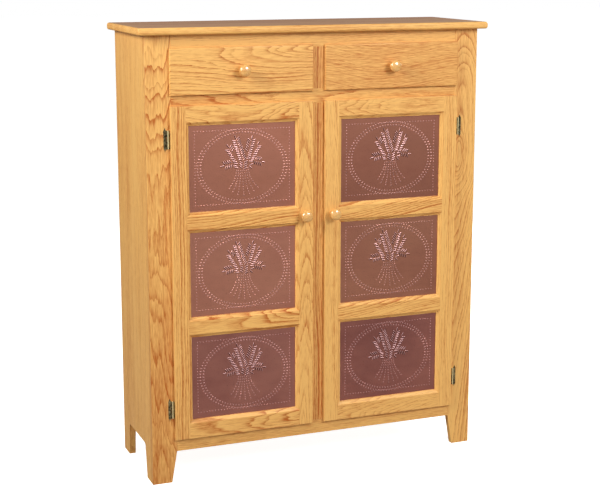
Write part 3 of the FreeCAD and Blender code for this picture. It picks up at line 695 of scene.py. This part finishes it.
def make_boards():
    for node in BOARDS:
        if node.endswith("knob"):
            continue
        is_door_frame = "_door_" in node and node.endswith(("stile", "bottom_rail", "top_rail"))
        radius = DOOR_EDGE_RADIUS if "_door_" in node else BOARD_EDGE_RADIUS
        lip = lip_edge(node) if is_door_frame else None
        add_piece(f"oak_{node}", eased(node, radius, lip), node, oak_of(node))


# ---------------------------------------------------------------- knobs

# The tenon's length as a share of the knob's in front of the wood.
KNOB_TENON = 0.5
# A knob from its tenon's end to the hollow under its head: the distance in front of the wood and the radius,
# as shares of the knob's length and of its head's radius.
KNOB_FOOT = (
    (-KNOB_TENON, 0.0),
    (-KNOB_TENON, 0.335),
    (0.0, 0.34),
    (0.0, 0.6),
    (0.03, 0.628),
    (0.07, 0.62),
    (0.12, 0.53),
    (0.2, 0.445),
    (0.3, 0.43),
    (0.4, 0.49),
    (0.48, 0.62),
    (0.53, 0.79),
    (0.57, 0.92),
)
# Where the head is widest, as a share of the knob's length, and the radius from there to the face.
KNOB_HEAD_START = 0.62
KNOB_RIM_CURVE = 10 * MM
KNOB_RIM_STEPS = 8
KNOB_FACE_STEPS = 6
KNOB_SIDES = 56
KNOB_COAT = {"Coat Weight": 1.0, "Coat Roughness": 0.1, "Coat IOR": 1.9}


def knob_profile(radius, length):
    """The distance in front of the wood and the radius of every ring of a knob. The head's rim is one arc,
    which runs smoothly into the flatter arc of its face."""
    rings = [(ahead * length, share * radius) for ahead, share in KNOB_FOOT]
    start = KNOB_HEAD_START * length
    rise = length - start
    rim = KNOB_RIM_CURVE
    rim_middle = radius - rim
    dome = (rim_middle**2 + rise**2 - rim**2) / (rise - rim) / 2
    meet = math.asin((dome - rise) / (dome - rim))
    for step in range(KNOB_RIM_STEPS):
        turn = meet * step / KNOB_RIM_STEPS
        rings.append((start + rim * math.sin(turn), rim_middle + rim * math.cos(turn)))
    for step in range(KNOB_FACE_STEPS + 1):
        turn = (math.pi / 2 - meet) * (1 - step / KNOB_FACE_STEPS)
        rings.append((length - dome + dome * math.cos(turn), dome * math.sin(turn)))
    return rings


def knob_oak(node):
    """The same oak under a glossier finish."""
    material = oak_of(node)
    shader = next(item for item in material.node_tree.nodes if item.type == "BSDF_PRINCIPLED")
    for name, value in KNOB_COAT.items():
        shader.inputs[name].default_value = value
    return material


def make_knob(node):
    low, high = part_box(node)
    radius = (high.x - low.x) / 2
    length = (high.y - low.y) / (1 + KNOB_TENON)
    face = low.y + length
    middle = Vector(((low.x + high.x) / 2, face, (low.z + high.z) / 2))
    shape = bmesh.new()
    rings = []
    for ahead, out in knob_profile(radius, length):
        count = KNOB_SIDES if out else 1
        ring = []
        for step in range(count):
            turn = math.tau * step / count
            at = Vector((math.cos(turn) * out, -ahead, math.sin(turn) * out))
            ring.append(shape.verts.new(middle + at))
        rings.append(ring)
    for lower, upper in zip(rings, rings[1:]):
        for step in range(KNOB_SIDES):
            following = (step + 1) % KNOB_SIDES
            corners = [lower[step % len(lower)], lower[following % len(lower)]]
            corners += [upper[following % len(upper)], upper[step % len(upper)]]
            shape.faces.new(list(dict.fromkeys(corners)))
    bmesh.ops.recalc_face_normals(shape, faces=shape.faces)
    mesh = bpy.data.meshes.new(node)
    shape.to_mesh(mesh)
    shape.free()
    smooth(mesh, 50, broad=NOTHING_BROAD)
    add_piece(f"turned_{node}", mesh, node, knob_oak(node))


# ---------------------------------------------------------------- punched copper

# One punch mark: its middle, the way its slot points, half the slot's length, its size, and open, which is
# 1 for a slit that is pushed up along one side and cut through along the other.
Mark = namedtuple("Mark", "x z turn half size open", defaults=(0,))

# Rings of a mark from its foot to its crown: radius and height in millimetres, and the height of the side
# that is cut through where the mark is open.
PUNCH_RINGS = ((1.9, 0.0, 0.0), (1.6, 0.4, -0.4), (1.05, 0.6, -0.4), (0.35, 0.7, -0.1))
PUNCH_FOOT = PUNCH_RINGS[0][0] * MM
PUNCH_CLEARANCE = 1.02
PUNCH_SIDES = 12
# How bright closed and open marks are polished by rubbing and painted as highlights. On the cut side of an
# open mark the same level, made negative, paints the shade in its hole.
RUBBED_AND_GLINT = (0.42, 0.78)


def line_of_marks(start, end, pitch):
    """Round marks from the start up to one pitch before the end."""
    reach = end - start
    count = round(reach.length / pitch)
    return [Mark(*(start + reach * (step / count)), 0.0, 0.0, DOT_SIZE) for step in range(count)]


def border_marks(half_width, half_height, pitch):
    corners = [
        Vector((-half_width, -half_height)),
        Vector((half_width, -half_height)),
        Vector((half_width, half_height)),
        Vector((-half_width, half_height)),
    ]
    marks = []
    for start, end in zip(corners, corners[1:] + corners[:1]):
        marks += line_of_marks(start, end, pitch)
    return marks


def oval_marks(half_width, half_height, pitch, half):
    """Marks evenly spaced round an ellipse, each pointing outwards."""
    fine = 2000
    turns = [math.tau * step / fine for step in range(fine + 1)]
    points = [Vector((half_width * math.cos(turn), half_height * math.sin(turn))) for turn in turns]
    lengths = [0.0]
    for start, end in zip(points, points[1:]):
        lengths.append(lengths[-1] + (end - start).length)
    count = round(lengths[-1] / pitch)
    marks = []
    place = 0
    for step in range(count):
        goal = lengths[-1] * step / count
        while lengths[place] < goal:
            place += 1
        at = points[place]
        outwards = math.atan2(at.y / half_height**2, at.x / half_width**2)
        marks.append(Mark(at.x, at.y, outwards, half, DOT_SIZE))
    return marks


def ear_marks(base, tip):
    """An ear of wheat: slanting grains up both sides of the line from base to tip. Each one is raised above
    and cut through below."""

    def upwards(turn):
        return turn if math.cos(turn) > 0 else turn + math.pi

    reach = tip - base
    along = reach.normalized()
    aside = Vector((-along.y, along.x))
    heading = math.atan2(along.y, along.x)
    count = round(reach.length / EAR_PITCH)
    marks = [Mark(*tip, upwards(heading), GRAIN_HALF, GRAIN_SIZE, 1)]
    for step in range(count):
        for side in (-1, 1):
            at = base + reach * ((step + max(side, 0) / 2) / count)
            spot = at + aside * side * EAR_SPREAD
            marks.append(Mark(*spot, upwards(heading + side * EAR_SLANT), GRAIN_HALF, GRAIN_SIZE, 1))
    return marks


def stem_marks(top, foot, pitch):
    """A stem that leaves the tie upright and bends outwards to its foot."""
    count = round((foot - top).length / pitch)

    def place(share):
        return Vector((top.x + (foot.x - top.x) * share**2, top.y + (foot.y - top.y) * share))

    marks = []
    for step in range(count + 1):
        at = place(step / count)
        heading = place((step + 0.5) / count) - at
        marks.append(Mark(at.x, at.y, math.atan2(heading.y, heading.x), STEM_HALF, STEM_SIZE))
    return marks


# The pattern's spacings, and the marks' sizes as shares of a full mark and half lengths.
PUNCH_PITCH = 8.8 * MM
STEM_PITCH = PUNCH_PITCH * 0.85
DOT_SIZE = 1.0
STEM_SIZE = 0.8
STEM_HALF = 1.1 * MM
GRAIN_SIZE = 0.96
EAR_PITCH = 5.9 * MM
EAR_SPREAD = 7.0 * MM
EAR_SLANT = math.radians(60)
GRAIN_HALF = 4.2 * MM
BORDER_INSET = 17.5 * MM
# The outer oval's width and height as shares of the pane's.
OVAL_SHARE = (0.843, 0.872)
OVAL_GAP = 9.0 * MM
OVAL_HALF = 1.1 * MM
# Places on a pane, as shares of its width and height from its middle: the tip and the base of each ear,
# then how far across each stem starts, the height where all of them start, and their feet.
EARS = (
    ((-0.068, 0.345), (0.0, 0.08)),
    ((0.092, 0.335), (0.035, 0.1)),
    ((-0.138, 0.245), (-0.04, 0.04)),
    ((0.15, 0.262), (0.062, 0.07)),
    ((-0.188, 0.015), (-0.06, 0.05)),
    ((0.195, 0.04), (0.08, 0.075)),
    ((0.016, 0.16), (0.004, -0.02)),
    ((-0.07, 0.08), (-0.035, -0.01)),
    ((0.085, 0.02), (0.035, 0.0)),
    ((-0.03, 0.2), (-0.014, 0.03)),
    ((0.055, 0.2), (0.024, 0.03)),
)
STEM_TOPS = (-0.054, -0.036, -0.018, 0.0, 0.018, 0.036, 0.054)
STEM_TOP = -0.02
STEM_FEET = (
    (-0.126, -0.25),
    (-0.092, -0.29),
    (-0.046, -0.325),
    (0.01, -0.335),
    (0.062, -0.325),
    (0.106, -0.295),
    (0.144, -0.255),
)


def sheaf_marks(width, height):
    def at(across, up):
        return Vector((across * width, up * height))

    marks = []
    for tip, base in EARS:
        marks += ear_marks(at(*base), at(*tip))
    for top, foot in zip(STEM_TOPS, STEM_FEET):
        marks += stem_marks(at(top, STEM_TOP), at(*foot), STEM_PITCH)
    return marks


def nearest(mark, other):
    """The distance between two marks' straight lengths, tried at points along both."""
    shares = (-1, -0.5, 0, 0.5, 1)

    def points(one):
        heading = Vector((math.cos(one.turn), math.sin(one.turn)))
        return [Vector((one.x, one.z)) + heading * one.half * share for share in shares]

    return min((first - second).length for first in points(mark) for second in points(other))


def spaced_out(marks, radius):
    """Drops each mark that would run into an earlier one."""

    def clear(mark, other):
        gap = radius * (mark.size + other.size)
        if math.hypot(mark.x - other.x, mark.z - other.z) > gap + mark.half + other.half:
            return True
        return nearest(mark, other) > gap

    kept = []
    for mark in marks:
        if all(clear(mark, other) for other in kept):
            kept.append(mark)
    return kept


def punch_outline(mark, radius):
    """A ring of points round a mark: a circle, or a slot with round ends where the mark has a length."""
    points = []
    heading = Vector((math.cos(mark.turn), math.sin(mark.turn)))
    for step in range(PUNCH_SIDES):
        turn = math.tau * (step + 0.5) / PUNCH_SIDES
        end = 1 if math.cos(turn) > 0 else -1
        spoke = Vector((math.cos(mark.turn + turn), math.sin(mark.turn + turn)))
        points.append(Vector((mark.x, mark.z)) + heading * end * mark.half + spoke * radius)
    return points


def punched_sheet(node, pane):
    """The sheet as one closed skin: a front with every punch raised in it, thin edges and a plain back."""
    low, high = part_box(node)
    pane_low, pane_high = pane
    middle = Vector(((pane_low.x + pane_high.x) / 2, (pane_low.z + pane_high.z) / 2))
    width = pane_high.x - pane_low.x
    height = pane_high.z - pane_low.z
    oval = Vector((width / 2 * OVAL_SHARE[0], height / 2 * OVAL_SHARE[1]))
    marks = sheaf_marks(width, height)
    marks += oval_marks(oval.x, oval.y, PUNCH_PITCH, OVAL_HALF)
    marks += oval_marks(oval.x - OVAL_GAP, oval.y - OVAL_GAP, PUNCH_PITCH, OVAL_HALF)
    marks += border_marks(width / 2 - BORDER_INSET, height / 2 - BORDER_INSET, PUNCH_PITCH)
    marks = spaced_out(marks, PUNCH_FOOT * PUNCH_CLEARANCE)

    corners = [(low.x, low.z), (high.x, low.z), (high.x, high.z), (low.x, high.z)]
    points = [Vector(corner) - middle for corner in corners]
    outlines = [[0, 1, 2, 3]]
    for mark in marks:
        ring = punch_outline(mark, PUNCH_FOOT * mark.size)
        outlines.append(list(range(len(points), len(points) + len(ring))))
        points += ring
    flat, _, triangles, _, _, owners = delaunay_2d_cdt(points, [], outlines, 1, 1e-7)
    shape = bmesh.new()
    raised = shape.verts.layers.float.new("raised")

    def vertex(at, out, level):
        corner = shape.verts.new((middle.x + at.x, low.y - out * MM, middle.y + at.y))
        corner[raised] = level
        return corner

    front = [vertex(at, 0, 0) for at in flat]
    for corners, owner in zip(triangles, owners):
        if owner == [0]:
            shape.faces.new([front[index] for index in corners])
    for mark, outline in zip(marks, outlines[1:]):
        outer = [front[index] for index in outline]
        # The attribute's level paints each mark: a highlight on real rubbing where it stands up, and hole
        # shade on the cut side.
        level = RUBBED_AND_GLINT[mark.open]
        for radius, out, cut_out in PUNCH_RINGS[1:]:
            ring = punch_outline(mark, radius * MM * mark.size)
            half = PUNCH_SIDES // 2
            # On the cut side the level turns negative, which paints the shade in the hole.
            other = (cut_out, math.copysign(level, cut_out)) if mark.open else (out, level)
            inner = [vertex(at, out, level) for at in ring[:half]]
            inner += [vertex(at, *other) for at in ring[half:]]
            for step in range(PUNCH_SIDES):
                following = (step + 1) % PUNCH_SIDES
                shape.faces.new([outer[step], outer[following], inner[following], inner[step]])
            outer = inner
        shape.faces.new(outer)
    rim = [front[index] for index in range(4)]
    back = [shape.verts.new((at.co.x, high.y, at.co.z)) for at in rim]
    for step in range(4):
        following = (step + 1) % 4
        shape.faces.new([rim[step], back[step], back[following], rim[following]])
    shape.faces.new(back)
    bmesh.ops.recalc_face_normals(shape, faces=shape.faces)
    mesh = bpy.data.meshes.new(node)
    shape.to_mesh(mesh)
    shape.free()
    smooth(mesh, 35)
    for polygon in mesh.polygons:
        if abs(polygon.normal.y) > 0.9999:
            polygon.use_smooth = False
    return mesh


# Bright and dull copper of each panel. How light each pair is, panel by panel, is a painted reflection of
# the room, which differs from panel to panel.
COPPERS = {
    "left_door_lower_panel": (rgb(205, 145, 133), rgb(172, 116, 108)),
    "left_door_middle_panel": (rgb(226, 160, 138), rgb(192, 132, 114)),
    "left_door_upper_panel": (rgb(216, 148, 127), rgb(180, 122, 102)),
    "right_door_lower_panel": (rgb(194, 132, 122), rgb(158, 104, 98)),
    "right_door_middle_panel": (rgb(210, 148, 124), rgb(172, 116, 98)),
    "right_door_upper_panel": (rgb(190, 130, 110), rgb(160, 106, 90)),
}


def make_copper_panels():
    for index, (node, (bright, dull)) in enumerate(COPPERS.items()):
        side, _, row, _ = node.split("_")
        edge_stile = "outer" if side == "left" else "inner"
        low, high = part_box(node)
        rim = low.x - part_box(f"{side}_door_{edge_stile}_stile")[1].x
        pane = (low - Vector((rim, 0, rim)), high + Vector((rim, 0, rim)))
        material = copper(f"{node}_copper", index, bright, dull)
        add_piece(f"copper_{side}_{row}_panel", punched_sheet(node, pane), node, material)


# ---------------------------------------------------------------- fittings

STRIKE_EDGE_RADIUS = 0.2 * MM
CATCH_EDGE_RADIUS = 1.2 * MM


def make_fittings():
    brass = antique_brass()
    steel = plated_steel()
    plastic = catch_plastic()
    nodes = ["hinge_frame_leaves", "hinge_pins", "hinge_screws"]
    nodes += [f"{side}_door_{part}" for side in SIDES for part in ("hinge_leaves", "hinge_screws")]
    for node in nodes:
        piece = frame["nodes"][node]
        piece.data.materials.clear()
        piece.data.materials.append(brass)
    for side in SIDES:
        node = f"{side}_door_strike_plate"
        add_piece(f"steel_{node}", eased(node, STRIKE_EDGE_RADIUS), node, steel)
    catches = eased("door_catches", CATCH_EDGE_RADIUS)
    add_piece("magnetic_door_catches", catches, "door_catches", plastic)


# ---------------------------------------------------------------- stage, light and camera

FLOOR_HALF = 30.0
# The floor's colour where it lights other things, and how much it glows where the camera sees it.
FLOOR_BOUNCE = rgb(154, 146, 139)
FLOOR_GLOW = 0.84


def make_floor():
    """A white studio floor. It looks white but lights the object only a little from below."""
    mesh = bpy.data.meshes.new("floor")
    half = FLOOR_HALF
    corners = [(-half, -half, 0), (half, -half, 0), (half, half, 0), (-half, half, 0)]
    mesh.from_pydata(corners, [], [range(4)])
    floor = bpy.data.objects.new("floor", mesh)
    material, graph = new_material("pale_floor")
    place = graph.add("ShaderNodeTexCoord").outputs["Object"]
    clouds = graph.noise(place, scale=0.7, detail=3)
    seen = graph.add("ShaderNodeLightPath").outputs["Is Camera Ray"]
    pale = graph.mix(clouds, rgb(240, 240, 239), rgb(236, 236, 236))
    color = graph.mix(seen, FLOOR_BOUNCE, pale)
    shader = surface(graph, color, graph.levels(clouds, 0.3, 0.7, 0.8, 0.9), None)
    shader.inputs["Emission Color"].default_value = (1, 1, 1, 1)
    graph.feed(shader.inputs["Emission Strength"], graph.math("MULTIPLY", seen, FLOOR_GLOW))
    mesh.materials.append(material)
    bpy.context.scene.collection.objects.link(floor)


def make_world():
    """White behind the object; grey around it for light, paler towards the front and the horizon."""
    world = bpy.data.worlds.new("studio")
    world.use_nodes = True
    world.node_tree.nodes.clear()
    graph = Graph(world.node_tree)
    direction = graph.add("ShaderNodeTexCoord").outputs["Generated"]
    _, y, z = graph.add("ShaderNodeSeparateXYZ", {0: direction}).outputs
    high = graph.levels(graph.math("ABSOLUTE", z), 0.0, 0.7, 1.0, 0.35)
    ahead = graph.levels(y, -0.6, 0.6, 0.62, 0.34)
    seen = graph.add("ShaderNodeLightPath").outputs["Is Camera Ray"]
    level = graph.math("MAXIMUM", graph.math("MULTIPLY", high, ahead), seen)
    backdrop = graph.add("ShaderNodeBackground", {"Color": (1, 1, 1, 1), "Strength": level})
    graph.add("ShaderNodeOutputWorld", {"Surface": backdrop.outputs[0]})
    bpy.context.scene.world = world
    bpy.context.scene.view_settings.view_transform = "Standard"


def make_light(name, at, aim, size, power, color=(1, 1, 1)):
    data = bpy.data.lights.new(name, "AREA")
    data.shape = "RECTANGLE"
    data.size, data.size_y = size
    data.energy = power
    data.color = color
    light = bpy.data.objects.new(name, data)
    light.location = at
    light.rotation_euler = (Vector(aim) - Vector(at)).to_track_quat("-Z", "Y").to_euler()
    bpy.context.scene.collection.objects.link(light)


def make_lights():
    warm = (1, 0.975, 0.93)
    make_light("key_light", (1.3, -2.9, 2.5), (0, 0, 0.95), (1.3, 1.3), 71, warm)
    make_light("fill_light", (-2.5, -0.9, 2.3), (-0.5, 0, 1.0), (1.0, 1.0), 65, warm)
    make_light("side_light", (2.7, 0.5, 1.9), (0.4, 0, 0.9), (0.8, 0.8), 46)
    make_light("rear_light", (1.6, 3.4, 0.7), (0, 0, 0.7), (1.2, 1.0), 40)


def make_camera():
    """Left of the middle and a little above the top board, looking down and to the right."""
    data = bpy.data.cameras.new("camera")
    data.sensor_width = 36
    data.lens = 82.4
    data.shift_y = -0.058
    data.clip_start, data.clip_end = 0.1, 100
    camera = bpy.data.objects.new("camera", data)
    camera.location = (-1.4653, -3.7815, 1.496)
    camera.rotation_euler = (math.radians(90 - 10.705), 0, math.radians(-21.195))
    bpy.context.scene.collection.objects.link(camera)
    bpy.context.scene.camera = camera


make_boards()
for knob in [node for node in BOARDS if node.endswith("knob")]:
    make_knob(knob)
make_copper_panels()
make_fittings()
make_floor()
make_world()
make_lights()
make_camera()
